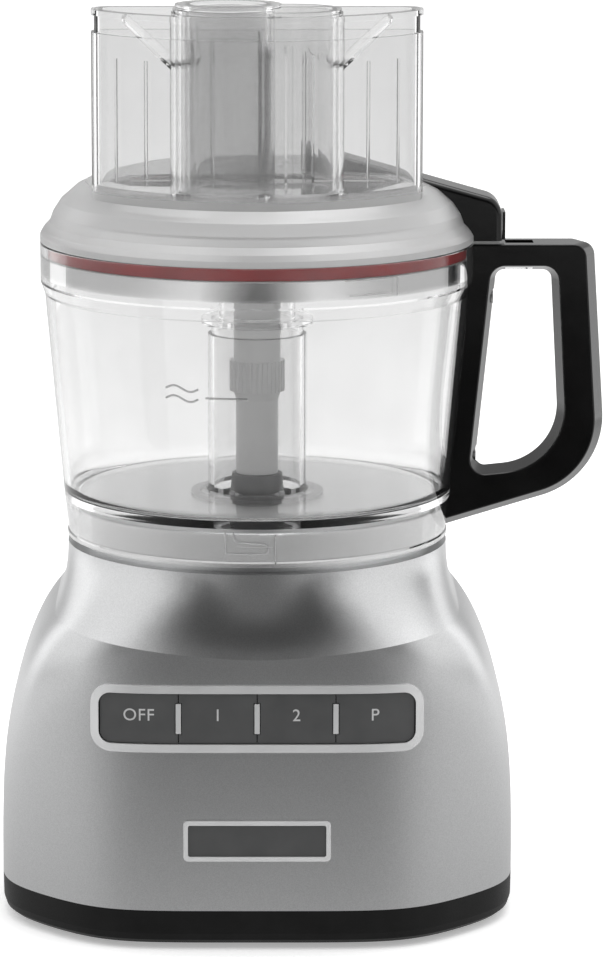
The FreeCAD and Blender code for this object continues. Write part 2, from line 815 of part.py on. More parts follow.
def make_chassis():
    x = -size.motor_place
    plate = block("chassis_sheet", size.post_place_across * 2, size.post_place_deep * 2 + 12,
                  size.chassis_thickness, 0, 0, size.chassis_height)
    plate = rounded("chassis_rounded", plate, size.post_radius)
    holes = [cylinder("chassis_spindle_hole", size.bearing_radius, 20, 0, 0, size.chassis_height - 5),
             cylinder("chassis_shaft_hole", size.motor_shaft_radius * 2, 20, x, 0, size.chassis_height - 5)]
    places = [(px, py) for px, py in post_places()]
    holes += [cylinder(f"chassis_post_hole_{i}", size.post_radius, 20, px, py, size.chassis_height - 5)
              for i, (px, py) in enumerate(places)]
    keep(cut("chassis_body", plate, *holes), "chassis_plate")


def make_tower():
    outer = size.bearing_radius + size.tower_wall
    bore = size.bearing_radius
    waist = size.bearing_radius - 2
    top = deck + size.seat_height - size.seat_wall
    low = chassis_top
    body = turned("tower_tube", [
        (bore, low), (outer + 4, low), (outer + 4, low + size.tower_wall), (outer, low + size.tower_wall),
        (outer, top), (bore, top), (bore, top - size.bearing_height), (waist, top - size.bearing_height),
        (waist, low + size.bearing_height), (bore, low + size.bearing_height),
    ])
    keep(body, "spindle_tower")
    inner = size.spindle_radius + size.running_fit
    keep(group("spindle_bearing_pair",
               ring("bearing_low", bore, inner, size.bearing_height, 0, 0, low),
               ring("bearing_high", bore, inner, size.bearing_height, 0, 0, top - size.bearing_height)),
         "spindle_bearings")


def belt_level():
    return size.tray_foot_gap + size.tray_floor + 6


def make_spindle():
    low = belt_level() - 3
    keep(cylinder("spindle_rod", size.spindle_radius, bowl_floor_top - low, 0, 0, low), "drive_spindle")
    rim = size.belt_thickness
    level = belt_level()
    wide = size.belt_width + 2
    pulley = turned("pulley_body", [
        (size.spindle_radius, level), (size.pulley_radius + rim, level),
        (size.pulley_radius + rim, level + 0.7),
        (size.pulley_radius, level + 0.7), (size.pulley_radius, level + wide - 0.7),
        (size.pulley_radius + rim, level + wide - 0.7), (size.pulley_radius + rim, level + wide),
        (size.pulley_radius - 4, level + wide), (size.pulley_radius - 4, level + 5),
        (size.spindle_radius + 6, level + 5), (size.spindle_radius + 6, level + wide + 4),
        (size.spindle_radius, level + wide + 4),
    ])
    keep(pulley, "drive_pulley")
    base = bowl_under - 1
    peg = size.drive_peg_radius
    body = turned("coupling_body", [
        (size.spindle_radius, base), (size.coupling_radius, base),
        (size.coupling_radius - 1, base + size.coupling_height), (peg, base + size.coupling_height),
        (peg, base + size.coupling_height + size.drive_peg_height),
        (0, base + size.coupling_height + size.drive_peg_height),
        (0, bowl_floor_top), (size.spindle_radius, bowl_floor_top),
    ])
    keep(body, "drive_coupling")


def make_motor():
    x = -size.motor_place
    low = chassis_top
    high = low + size.motor_length
    stator_low = low + size.stator_lift
    square = block("stator_square", size.stator_side, size.stator_side, size.stator_height, x, 0, stator_low)
    square = rounded("stator_rounded", square, 8)
    bore = cylinder("stator_hole", size.stator_bore, size.stator_height, x, 0, stator_low)
    windows = [block(f"winding_window_{i}", size.stator_side * 0.62, 5.6, size.stator_height, x,
                     side * (size.stator_bore + 3.4), stator_low) for i, side in enumerate((-1, 1))]
    keep(cut("stator_body", square, bore, *windows), "motor_stator")
    coils = []
    for i, side in enumerate((-1, 1)):
        ring_block = block(f"winding_block_{i}", size.stator_side * 0.62, 5.6, size.stator_height + 16, x,
                           side * (size.stator_bore + 3.4), stator_low - 8)
        coils.append(rounded(f"winding_{i}", ring_block, 2))
    keep(group("windings", *coils), "motor_windings")
    make_end_plate("motor_end_lower", low, low + size.end_plate_thickness, stator_low)
    make_end_plate("motor_end_upper", high - size.end_plate_thickness, high - size.end_plate_thickness,
                   stator_low + size.stator_height)
    inner = size.motor_shaft_radius + size.running_fit
    keep(group("motor_bearing_pair",
               ring("motor_bearing_low", size.bearing_radius - 1, inner, size.end_plate_thickness, x, 0, low),
               ring("motor_bearing_high", size.bearing_radius - 1, inner, size.end_plate_thickness, x, 0,
                    high - size.end_plate_thickness)), "motor_bearings")
    make_rotor(x, low, high, stator_low)


def make_end_plate(node, level, legs_from, stator_face):
    """A bracket across one end of the motor with four legs to the stator."""
    x = -size.motor_place
    plate = rounded(f"{node}_plate_round", block(f"{node}_plate", size.stator_side, size.stator_side,
                                                 size.end_plate_thickness, x, 0, level), 8)
    start = legs_from if legs_from.number < stator_face.number else stator_face
    stop = stator_face if legs_from.number < stator_face.number else legs_from
    reach = size.stator_side / 2 - 6
    legs = [cylinder(f"{node}_leg_{i}{j}", 3.5, stop - start, x + reach * i, reach * j, start)
            for i in (-1, 1) for j in (-1, 1)]
    hole = cylinder(f"{node}_hole", size.bearing_radius - 1, size.end_plate_thickness, x, 0, level)
    keep(cut(f"{node}_body", fuse(f"{node}_filled", plate, *legs), hole), node)


def make_rotor(x, low, high, stator_low):
    shaft_low = belt_level() - 3
    keep(cylinder("rotor_rod", size.motor_shaft_radius, high - shaft_low + 4, x, 0, shaft_low), "rotor_shaft")
    keep(ring("rotor_stack", size.rotor_radius, size.motor_shaft_radius, size.stator_height,
              x, 0, stator_low),
         "rotor_core")
    brush_low = stator_low + size.stator_height + 9
    keep(ring("commutator_ring", size.commutator_radius, size.motor_shaft_radius, size.commutator_height,
              x, 0, brush_low), "commutator")
    holders = [block(f"brush_{i}", size.stator_side / 2 - size.commutator_radius - size.belt_gap - 6, 8, 7,
                     x + side * (size.stator_side / 2 + size.commutator_radius + size.belt_gap - 6) / 2, 0,
                     brush_low + 2) for i, side in enumerate((-1, 1))]
    stalks = [block(f"brush_stalk_{i}", 5, 8, high - brush_low - 2 - size.end_plate_thickness,
                    x + side * (size.stator_side / 2 - 8.5), 0, brush_low + 2)
              for i, side in enumerate((-1, 1))]
    keep(group("brushes", *[fuse(f"brush_holder_{i}", a, b)
                            for i, (a, b) in enumerate(zip(holders, stalks))]),
         "brush_holders")
    fan_low = low + size.end_plate_thickness + 2
    hub = ring("fan_hub", size.motor_shaft_radius + 4, size.motor_shaft_radius, size.fan_height,
               x, 0, fan_low)
    disc = ring("fan_disc", size.fan_radius - 4, size.motor_shaft_radius, 1.4, x, 0, fan_low)
    blades = []
    for i in range(int(size.fan_blades.number)):
        blade = doc.addObject("Part::Box", f"fan_blade_{i}")
        bind(blade, "Length", size.fan_radius - 4 - size.motor_shaft_radius - 2)
        blade.Width = 1.2
        bind(blade, "Height", size.fan_height)
        turn = Rotation(Vector(0, 0, 1), 360.0 * i / size.fan_blades.number)
        start = turn.multVec(Vector(size.motor_shaft_radius.number + 2, -0.6, 0))
        place(blade, x + start.x, start.y, fan_low, turn)
        blades.append(blade)
    keep(fuse("fan_body", hub, disc, *blades), "cooling_fan")
    level = belt_level()
    wide = size.belt_width + 2
    pulley = fuse("motor_pulley_filled",
                  ring("motor_pulley_drum", size.motor_pulley_radius, size.motor_shaft_radius, wide,
                       x, 0, level),
                  ring("motor_pulley_low", size.motor_pulley_radius + size.belt_thickness,
                       size.motor_shaft_radius, 0.7, x, 0, level),
                  ring("motor_pulley_high", size.motor_pulley_radius + size.belt_thickness,
                       size.motor_shaft_radius, 0.7, x, 0, level + wide - 0.7))
    keep(pulley, "motor_pulley")


def belt_loop(gap, thickness):
    """The face inside a belt that runs round both pulleys at the given gap from their drums."""
    big = size.pulley_radius.number + gap + thickness
    little = size.motor_pulley_radius.number + gap + thickness
    span = size.motor_place.number
    lean = math.acos((big - little) / span)
    high_big = Vector(big * math.cos(math.pi - lean), big * math.sin(math.pi - lean), 0)
    high_little = Vector(-span + little * math.cos(math.pi - lean), little * math.sin(math.pi - lean), 0)
    low_big = Vector(high_big.x, -high_big.y, 0)
    low_little = Vector(high_little.x, -high_little.y, 0)
    edges = [Part.LineSegment(high_big, high_little).toShape(),
             Part.Arc(high_little, Vector(-span - little, 0, 0), low_little).toShape(),
             Part.LineSegment(low_little, low_big).toShape(),
             Part.Arc(low_big, Vector(big, 0, 0), high_big).toShape()]
    return Part.Face(Part.Wire(edges))


def make_belt():
    gap = size.belt_gap.number
    face = belt_loop(gap, size.belt_thickness.number * 0.7).cut(belt_loop(gap, 0.0))
    belt = doc.addObject("Part::Feature", "belt")
    belt.Shape = face.extrude(Vector(0, 0, size.belt_width.number))
    place(belt, 0, 0, belt_level() + 1)
    keep(belt, "drive_belt")


# ---------------------------------------------------------------- work bowl

def bowl_outside():
    """The bowl's outer profile from foot to rim as (radius, height) corners."""
    return [
        (size.bowl_foot_radius, bowl_foot),
        (size.bowl_foot_radius, bowl_foot + 1.7),
        (size.bowl_waist_radius, bowl_foot + 2.4),
        (size.bowl_floor_radius, bowl_floor_top - 1.5),
        (size.bowl_shoulder_radius, bowl_rim - size.bowl_rim_band - size.bowl_step),
        (size.bowl_rim_radius, bowl_rim - size.bowl_rim_band),
        (size.bowl_rim_radius, bowl_rim),
    ]


def make_bowl():
    wall = size.bowl_wall
    inside = size.column_radius - size.column_wall
    profile = bowl_outside() + [
        (size.bowl_rim_radius - wall, bowl_rim),
        (size.bowl_rim_radius - wall, bowl_rim - size.bowl_rim_band + 0.6),
        (size.bowl_shoulder_radius - wall, bowl_rim - size.bowl_rim_band - size.bowl_step + 0.6),
        (size.bowl_floor_radius - wall, bowl_floor_top),
        (size.column_radius + 1, bowl_floor_top),
        (size.column_radius, bowl_floor_top + 2),
        (size.column_radius, column_top),
        (inside, column_top),
        (inside, bowl_under),
        (size.bowl_waist_radius - wall + 0.3, bowl_under),
        (size.bowl_waist_radius - wall + 0.3, bowl_foot),
    ]
    body = turned("bowl_shell", profile, rims=[
        (size.bowl_floor_radius - wall, bowl_floor_top, size.bowl_corner),
        (size.bowl_rim_radius, bowl_rim, 0.8)])
    brackets = [handle_bracket(f"bowl_bracket_{i}", drop) for i, drop in enumerate(handle_screw_drops())]
    bores = [cylinder(f"bracket_bore_{i}", size.screw_radius, size.handle_screw_entry, screw_start(drop), 0,
                      bowl_rim - drop, ALONG_X) for i, drop in enumerate(handle_screw_drops())]
    inside_limit = turned("bowl_inside_limit", [
        (0, bowl_under), (size.bowl_floor_radius - wall / 2, bowl_under),
        (size.bowl_shoulder_radius - wall / 2, bowl_rim - size.bowl_rim_band - size.bowl_step),
        (size.bowl_shoulder_radius - wall / 2, bowl_rim), (0, bowl_rim)])
    outside_brackets = cut("bowl_brackets", fuse("bracket_pair", *brackets), inside_limit, *bores)
    keep(fuse("work_bowl_body", body, outside_brackets), "work_bowl")


def bowl_side(drop):
    """The bowl's outer radius at a depth below its rim, on the straight side."""
    low = bowl_floor_top - 1.5
    high = bowl_rim - size.bowl_rim_band - size.bowl_step
    share = (bowl_rim - drop - low) / (high - low)
    return size.bowl_floor_radius + (size.bowl_shoulder_radius - size.bowl_floor_radius) * share


def handle_screw_drops():
    return (size.handle_screw_high, size.handle_screw_low)


def handle_bracket(name, drop):
    """A lug on the bowl's wall that stands in a pocket of the handle."""
    middle = bowl_side(drop) + (size.bracket_reach - size.bracket_root) / 2
    return block(name, size.bracket_reach + size.bracket_root, size.bracket_width, size.bracket_tall,
                 middle, 0, bowl_rim - drop - size.bracket_tall / 2)


def screw_start(drop):
    """How far out the tip of a handle screw stands, inside its bracket."""
    return bowl_side(drop) + size.bracket_reach - size.handle_screw_entry


def make_gasket():
    keep(ring("gasket_ring", size.gasket_inner + size.gasket_width, size.gasket_inner, size.gasket_thickness,
              0, 0, seat_top + size.seat_clearance), "bowl_gasket")


def make_stem():
    base = bowl_under - 1 + size.coupling_height
    low = base + size.seat_clearance
    peg = size.drive_peg_radius + size.running_fit
    knurl_low = low + size.stem_length * 0.46
    knurl_high = knurl_low + size.knurl_height
    collar_low = column_top + size.stem_collar_gap
    body = turned("stem_body", [
        (peg, low), (size.stem_radius, low), (size.stem_radius, knurl_low - 4),
        (size.stem_body_radius - size.knurl_band, knurl_low),
        (size.stem_body_radius - size.knurl_band, knurl_high),
        (size.stem_neck_radius, knurl_high), (size.stem_neck_radius, low + size.stem_length),
        (0, low + size.stem_length), (0, base + size.drive_peg_height + 1),
        (peg, base + size.drive_peg_height + 1),
    ])
    keep(body, "drive_stem")
    band = ring("knurl_band", size.stem_body_radius, size.stem_body_radius - size.knurl_band,
                size.knurl_height, 0, 0, knurl_low)
    grooves = []
    for i in range(int(size.knurl_count.number)):
        turn = math.radians(360.0 * i / size.knurl_count.number)
        grooves.append(cylinder(f"knurl_groove_{i}", 0.45, size.knurl_height,
                                size.stem_body_radius * math.cos(turn),
                                size.stem_body_radius * math.sin(turn), knurl_low))
    keep(cut("knurl_body", band, group("knurl_grooves", *grooves)), "knurled_ring")
    collar_high = collar_low + size.stem_collar_thickness
    collar = ring("collar_ring", size.stem_collar_radius, size.stem_neck_radius, size.stem_collar_thickness,
                  0, 0, collar_low)
    cover = column_top + size.seat_clearance
    skirt = ring("collar_skirt", size.stem_skirt_radius, size.stem_skirt_radius - size.stem_hub_wall,
                 collar_low - cover, 0, 0, cover)
    hub = ring("collar_hub", size.stem_hub_radius, size.stem_hub_radius - size.stem_hub_wall,
               low + size.stem_length - collar_high, 0, 0, collar_high)
    keep(fuse("collar_body", collar, skirt, hub), "stem_collar")


# ---------------------------------------------------------------- handle and interlock

def handle_corners():
    """Outer corners of the handle seen from the front, from the bowl rim round to its foot."""
    inside = size.bowl_rim_radius - 8
    right = size.bowl_rim_radius + size.handle_reach
    return [(inside, handle_top), (right, handle_top),
            (right + size.handle_lean * 1.25, handle_top - size.handle_drop),
            (size.bowl_waist_radius - 3, handle_top - size.handle_drop - size.handle_rise)]


def opening_corners():
    """Corners of the finger opening, clockwise from its top left."""
    right = size.bowl_rim_radius + size.handle_reach - size.handle_grip
    top = handle_top - size.handle_top_bar
    left = size.bowl_rim_radius + size.opening_inset
    foot = top - size.opening_depth
    return [(left, top), (right + 0.8, top), (right + size.handle_lean, foot + 4), (left - 9, foot)]


def drawn_in(corners, insets):
    """Corners, clockwise, with the side that follows each one moved in by its inset."""
    spots = [Vector(as_length(x).number, 0, as_length(z).number) for x, z in corners]
    sides = []
    for i, inset in enumerate(insets):
        run = (spots[(i + 1) % len(spots)] - spots[i]).normalize()
        sides.append((spots[i] + Vector(run.z, 0, -run.x) * inset, run))
    moved = []
    for i in range(len(spots)):
        (before, run), (after, turn) = sides[i - 1], sides[i]
        gap = after - before
        reach = (gap.x * turn.z - gap.z * turn.x) / (run.x * turn.z - run.z * turn.x)
        moved.append(before + run * reach)
    return moved


def rounded_loop(spots, radii, across):
    """A closed wire through the corners at one place across the handle, each turned with its radius."""
    ends = []
    for i, spot in enumerate(spots):
        back = (spots[i - 1] - spot).normalize()
        on = (spots[(i + 1) % len(spots)] - spot).normalize()
        half = back.getAngle(on) / 2
        reach = radii[i] / math.tan(half)
        middle = spot + (back + on).normalize() * (radii[i] / math.sin(half) - radii[i])
        ends.append((spot + back * reach, middle, spot + on * reach))
    edges = []
    for i, (start, middle, end) in enumerate(ends):
        edges.append(Part.Arc(start, middle, end).toShape())
        edges.append(Part.makeLine(end, ends[(i + 1) % len(ends)][0]))
    loop = Part.Wire(edges)
    loop.translate(Vector(0, across, 0))
    return loop


def bevelled(name, corners, radii, insets, half):
    """A plate that is widest in its middle plane. Its sides slope in by the insets to its two faces."""
    spots = drawn_in(corners, [0.0] * len(corners))
    faces = drawn_in(corners, insets)
    face_radii = [radius - min(insets[i - 1], insets[i], key=abs) for i, radius in enumerate(radii)]
    middle = rounded_loop(spots, radii, 0.0)
    halves = [Part.makeLoft([middle, rounded_loop(faces, face_radii, side)], True, True)
              for side in (-half, half)]
    plate = doc.addObject("Part::Feature", name)
    plate.Shape = halves[0].fuse(halves[1]).removeSplitter()
    return plate


def side_outline(edge):
    """True for the edges round the two flat sides of the handle."""
    half = size.handle_half_width.number
    return all(abs(abs(vertex.Point.y) - half) < 1e-6 for vertex in edge.Vertexes) and (
        edge.BoundBox.YLength < 1e-3)


def make_handle():
    bevel, flare, half = size.handle_bevel.number, -size.opening_bevel.number, size.handle_half_width.number
    corner, small = size.handle_top_corner.number, size.opening_small_corner.number
    body = bevelled("handle_blank", handle_corners(), [1.0, corner, size.handle_corner.number, 1.0],
                    [0.0, bevel, bevel, 0.0], half)
    hole = bevelled("opening_blank", opening_corners(), [small, small, size.opening_corner.number, small],
                    [flare] * 4, half)
    frame = cut("handle_frame", body, hole)
    frame = rounded("handle_soft", frame, size.handle_edge, side_outline)
    envelope = turned("bowl_envelope", [(0, bowl_foot)] + bowl_outside() + [(0, bowl_rim)])
    middle = size.bowl_rim_radius + size.slot_reach + size.slot_length / 2
    slot = block("interlock_slot", size.slot_length, size.slot_half_width * 2, size.slot_depth + 1,
                 middle, 0, handle_top - size.slot_depth)
    sockets = []
    for i, drop in enumerate(handle_screw_drops()):
        height = bowl_rim - drop
        sockets.append(handle_bracket(f"bracket_socket_{i}", drop))
        sockets.append(cylinder(f"handle_screw_bore_{i}", size.screw_radius, 24, screw_start(drop), 0,
                                height, ALONG_X))
        sockets.append(cylinder(f"handle_screw_sink_{i}", size.screw_head_radius + size.lid_gap, 12,
                                opening_side(height) - size.screw_sink, 0, height, ALONG_X))
    keep(cut("handle_body", frame, envelope, slot, *sockets), "bowl_handle")


def make_handle_screws():
    screws = []
    for i, drop in enumerate(handle_screw_drops()):
        start = screw_start(drop)
        height = bowl_rim - drop
        face = opening_side(height) - size.screw_sink
        screws.append(fuse(f"handle_screw_{i}",
                           cylinder(f"handle_screw_shank_{i}", size.screw_radius, face - start, start, 0,
                                    height, ALONG_X),
                           cylinder(f"handle_screw_head_{i}", size.screw_head_radius, size.handle_screw_head,
                                    face, 0, height, ALONG_X)))
    keep(group("screws_in_handle", *screws), "handle_screws")


def opening_side(height):
    """Where the left wall of the finger opening stands at a height."""
    (left, top), _, _, (foot_left, foot) = opening_corners()
    return foot_left + (left - foot_left) * ((height - foot) / (top - foot))


def make_interlock():
    middle = size.bowl_rim_radius + size.slot_reach + size.slot_length / 2
    top = handle_top - size.plunger_drop
    gap = size.button_clearance
    cap = block("plunger_cap", size.slot_length - gap * 2, (size.slot_half_width - gap) * 2,
                size.plunger_height, middle, 0, top - size.plunger_height)
    keep(cap, "interlock_plunger")
    wire = size.spring_wire
    floor = handle_top - size.slot_depth
    height = top - size.plunger_height - floor - wire * 2 - size.running_fit
    turns = 3.5
    keep(coil("plunger_coil", size.slot_half_width - gap * 4, wire, height / turns, height, middle, 0,
              floor + wire), "interlock_spring")


# ---------------------------------------------------------------- lid

def lid_outside():
    """The lid's outer profile from its flange to the middle of the dome."""
    ledge = lid_rest + size.lid_flange
    return [
        (size.bowl_rim_radius, lid_rest),
        (size.bowl_rim_radius, ledge),
        (size.bowl_rim_radius - 1.5, ledge + 2.6),
        (size.lid_dome_radius + 1.6, ledge + size.lid_ledge),
        (size.lid_dome_radius, ledge + size.lid_ledge + 4.4),
        (size.lid_dome_radius - 3.4, dome_top - 15),
        (size.lid_dome_radius - 10.2, dome_top - 9),
        (size.lid_dome_radius - 19, dome_top - 4.6),
        (size.lid_dome_radius - 32, dome_top - 1.6),
        (0, dome_top),
    ]


def lid_inside():
    """The lid's inner profile from the middle of the dome to the foot of its skirt."""
    wall = size.lid_wall
    groove = size.bowl_rim_radius - size.bowl_wall - size.seal_reach - size.seal_thickness
    return [
        (0, dome_top - wall),
        (size.lid_dome_radius - 32.6, dome_top - 1.6 - wall),
        (size.lid_dome_radius - 20, dome_top - 4.6 - wall),
        (size.lid_dome_radius - 11.8, dome_top - 9 - wall),
        (size.lid_dome_radius - 5.4, dome_top - 15 - wall),
        (size.lid_dome_radius - wall, dome_top - 22),
        (size.lid_skirt_radius - wall - 1.6, lid_rest),
        (size.lid_skirt_radius - wall - 1.6, lid_rest - size.lid_skirt_depth),
        (size.lid_skirt_radius, lid_rest - size.lid_skirt_depth),
        (size.lid_skirt_radius, lid_rest - size.seal_height - size.lid_gap * 2),
        (groove, lid_rest - size.seal_height - size.lid_gap * 2),
        (groove, lid_rest),
    ]


def slot_prism(name, inset, low, tall):
    """The feed tube's plan, an arc in front and a flat back, drawn in by the inset."""
    radius = size.tube_radius - inset
    deep = size.tube_radius - size.tube_back - inset * 2
    disc = cylinder(f"{name}_disc", radius, tall, 0, 0, low)
    bar = block(f"{name}_bar", (size.tube_half_width - inset) * 2, deep + 40, tall, 0,
                -size.tube_back - inset - (deep + 40) / 2, low)
    return rounded(name, common(f"{name}_plan", disc, bar), size.tube_corner - inset)


def make_lid():
    shell = turned("lid_shell", lid_outside() + lid_inside())
    low = lid_rest + size.lid_dome_height / 2
    tube = slot_prism("tube_outer", as_length(0.0), low, tube_top - low)
    inside = slot_prism("tube_inner", size.tube_wall, lid_rest - size.lid_skirt_depth,
                        size.tube_height + size.lid_skirt_depth + 10)
    keep(cut("lid_body", fuse("lid_filled", shell, tube), inside), "lid")
    groove = size.bowl_rim_radius - size.bowl_wall - size.seal_reach - size.seal_thickness
    keep(ring("seal_ring", groove + size.seal_thickness, groove + size.lid_gap / 3, size.seal_height, 0, 0,
              lid_rest - size.seal_height - size.lid_gap), "lid_seal")


def make_lid_arm():
    tip = size.arm_reach
    low = lid_rest + size.lid_gap
    corners = [
        (size.arm_root, lid_rest + size.arm_top_height),
        (tip, lid_rest + size.arm_tip_height),
        (tip, low),
        (tip - 10, low),
        (size.arm_root, low),
    ]
    sharp = padded("arm_blank", corners, size.arm_half_width)

    def knuckle(edge):
        return all(abs(v.Point.x - tip.number) < 1e-3 and v.Point.z > low.number + 1 for v in edge.Vertexes)
    blank = rounded("arm_knuckle_round", sharp, size.arm_knuckle, knuckle)

    def side_edge(edge):
        half = size.arm_half_width.number
        high = min(vertex.Point.z for vertex in edge.Vertexes) > low.number + 0.1
        flat = all(abs(abs(vertex.Point.y) - half) < 1e-6 for vertex in edge.Vertexes)
        return flat and high and edge.BoundBox.YLength < 1e-3 and edge.BoundBox.XLength > 0.1
    soft = rounded("arm_soft", blank, size.arm_edge, side_edge)
    envelope = turned("lid_envelope", lid_outside() + [(0, lid_rest)])
    trimmed = cut("arm_trimmed", soft, envelope)
    reach = size.arm_tab_gap + size.arm_tab_thickness
    foot = block("arm_tab_foot", reach + 2, size.arm_tab_width, size.arm_tab_thickness * 2,
                 tip + (reach - 2) / 2, 0, low)
    blade = block("arm_tab_blade", size.arm_tab_thickness, size.arm_tab_width, size.arm_tab_height,
                  tip + size.arm_tab_gap + size.arm_tab_thickness / 2, 0, low)
    keep(fuse("arm_body", trimmed, foot, blade), "lid_arm")


# ---------------------------------------------------------------- pushers

def well_prism(name, inset, low, tall):
    """The upright rounded well of the middle pusher, drawn in by the inset."""
    bar = block(f"{name}_bar", (size.well_half_width - inset) * 2, (size.well_half_depth - inset) * 2, tall,
                0, -size.well_place, low)
    return rounded(name, bar, size.well_corner - inset)


def make_large_pusher():
    gap = size.tube_wall + size.pusher_clearance
    low = pusher_rest - size.pusher_length
    wall = size.pusher_wall
    skin = slot_prism("large_skin", gap, low, pusher_rest - low)
    collar = slot_prism("large_collar", size.pusher_collar_inset, pusher_rest, size.pusher_collar)
    flange = slot_prism("large_flange", as_length(0.0), pusher_rest + size.pusher_collar, size.pusher_flange)
    hollow = slot_prism("large_hollow", gap + wall, low + size.pusher_floor, pusher_top - low)
    shell = cut("large_shell", fuse("large_filled", skin, collar, flange), hollow)
    well = well_prism("well_outer", as_length(0.0), low, pusher_top - low)
    corners_left = funnel_corners(-1)
    corners_right = funnel_corners(1)
    webs = [padded(f"funnel_web_{i}", corners, size.tube_radius) for i, corners in
            enumerate((corners_left, corners_right))]
    limit = slot_prism("funnel_limit", gap + wall / 2, low, pusher_top - low)
    webs = common("funnel_webs", fuse("funnel_pair", *webs), limit)
    bore = well_prism("well_bore", wall, low - 1, pusher_top - low + 2)
    keep(cut("large_pusher_body", fuse("large_with_well", shell, well, webs), bore), "large_pusher")


def funnel_corners(side):
    """A sloping web from the flange down to the well's wall."""
    start = (size.well_half_width + size.funnel_width) * side
    stop = (size.well_half_width - 1) * side
    top = pusher_top - size.pusher_flange
    drop = size.funnel_drop
    return [(start, top), (stop, top - drop), (stop, top - drop - size.pusher_wall),
            (start, top - size.pusher_wall)]


def make_medium_pusher():
    gap = size.pusher_wall + size.pusher_clearance
    low = pusher_rest - size.pusher_length
    top = pusher_top + size.lid_gap
    skin = well_prism("medium_skin", gap, low, top - low)
    flange = well_prism("medium_flange_plate", size.pusher_clearance, top, size.medium_flange)
    hollow = well_prism("medium_hollow", gap + size.pusher_wall, low + size.pusher_floor,
                        top - low + size.medium_flange)
    shell = cut("medium_shell", fuse("medium_filled", skin, flange), hollow)
    x, y = -size.small_well_place, -size.well_place
    tube = cylinder("small_well", size.small_well_radius, top - low + size.medium_flange, x, y, low)
    ribs = []
    for i in (0, 1):
        sheet = block(f"medium_sheet_{i}", size.pusher_wall / 2, size.well_half_depth * 2,
                      size.pusher_length * 0.9, size.small_well_radius * (0.6 + i * 0.55), y, low)
        ribs.append(common(f"medium_rib_{i}", sheet, skin))
    bore = cylinder("small_well_bore", size.small_well_radius - size.pusher_wall / 2, top - low + 20, x, y,
                    low - 1)
    keep(cut("medium_pusher_body", fuse("medium_with_well", shell, tube, *ribs), bore), "medium_pusher")


def make_small_pusher():
    low = pusher_rest - size.pusher_length
    rest = pusher_top + size.lid_gap * 2 + size.medium_flange
    radius = size.small_well_radius - size.pusher_wall / 2 - size.pusher_clearance
    x, y = -size.small_well_place, -size.well_place
    skin = cylinder("small_skin", radius, rest - low, x, y, low)
    cap = cylinder("small_cap", size.small_cap_radius, size.small_cap_height, x, y, rest)
    hollow = cylinder("small_hollow", radius - size.pusher_wall, rest - low + 10,
                      x, y, low + size.pusher_floor)
    keep(cut("small_pusher_body", fuse("small_filled", skin, cap), hollow), "small_pusher")


# ---------------------------------------------------------------- build and write

def check_document():
    """Stop if any object failed or any sub-part is empty or broken."""
    for thing in doc.Objects:
        if "Invalid" in thing.State or "Error" in thing.State:
            raise RuntimeError(f"{thing.Name} failed: {thing.State}")
    for thing in subparts:
        if thing.Shape.isNull() or not thing.Shape.isValid():
            raise RuntimeError(f"{thing.Label} has no valid shape")
        if not thing.Shape.Solids:
            raise RuntimeError(f"{thing.Label} has no solid")


def write_parts():
    os.makedirs("parts", exist_ok=True)
    for thing in subparts:
        thing.Shape.exportStep(f"parts/{thing.Label}.step")


MAKERS = (make_housing, make_tray, make_feet_and_screws, make_seat, make_bezel, make_buttons, make_carrier,
          make_board, make_badge, make_gland, make_chassis, make_tower, make_spindle, make_motor, make_belt,
          make_bowl, make_gasket, make_stem, make_handle, make_handle_screws, make_interlock, make_lid,
          make_lid_arm, make_large_pusher, make_medium_pusher, make_small_pusher)

for maker in MAKERS:
    maker()
doc.recompute()
check_document()
write_parts()
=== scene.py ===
"""Food processor: materials, printed marks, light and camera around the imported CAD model."""
import math

import bmesh
import bpy
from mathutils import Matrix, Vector
from mathutils.bvhtree import BVHTree


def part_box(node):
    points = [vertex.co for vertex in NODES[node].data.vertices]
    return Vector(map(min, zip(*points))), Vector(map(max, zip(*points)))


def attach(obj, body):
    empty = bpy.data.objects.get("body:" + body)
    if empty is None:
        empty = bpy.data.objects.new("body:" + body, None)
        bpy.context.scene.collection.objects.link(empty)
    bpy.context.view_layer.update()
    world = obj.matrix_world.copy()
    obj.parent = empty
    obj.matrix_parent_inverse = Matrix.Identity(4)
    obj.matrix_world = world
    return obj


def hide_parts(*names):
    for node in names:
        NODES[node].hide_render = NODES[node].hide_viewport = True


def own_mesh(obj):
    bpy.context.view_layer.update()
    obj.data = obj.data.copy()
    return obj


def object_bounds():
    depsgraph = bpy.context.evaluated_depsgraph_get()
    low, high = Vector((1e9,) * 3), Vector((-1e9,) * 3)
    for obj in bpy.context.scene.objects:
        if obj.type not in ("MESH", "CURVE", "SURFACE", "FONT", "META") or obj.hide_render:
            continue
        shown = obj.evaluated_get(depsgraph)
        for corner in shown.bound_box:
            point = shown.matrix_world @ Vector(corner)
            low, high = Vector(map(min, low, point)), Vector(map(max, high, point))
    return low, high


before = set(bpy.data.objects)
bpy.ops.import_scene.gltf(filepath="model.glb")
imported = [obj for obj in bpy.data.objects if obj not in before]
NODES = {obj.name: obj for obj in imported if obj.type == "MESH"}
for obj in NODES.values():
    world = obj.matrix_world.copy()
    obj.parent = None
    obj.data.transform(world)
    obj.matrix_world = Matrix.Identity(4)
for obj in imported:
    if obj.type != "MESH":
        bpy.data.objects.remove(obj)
CAD_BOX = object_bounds()
MM = 0.001


# ---------------------------------------------------------------- materials

def mixed(tree, factor, first, second):
    """A mix of two shaders: the first at factor 0, the second at 1."""
    mix = tree.nodes.new("ShaderNodeMixShader")
    for place, source in enumerate((factor, first, second)):
        tree.links.new(source, mix.inputs[place])
    return mix.outputs[0]


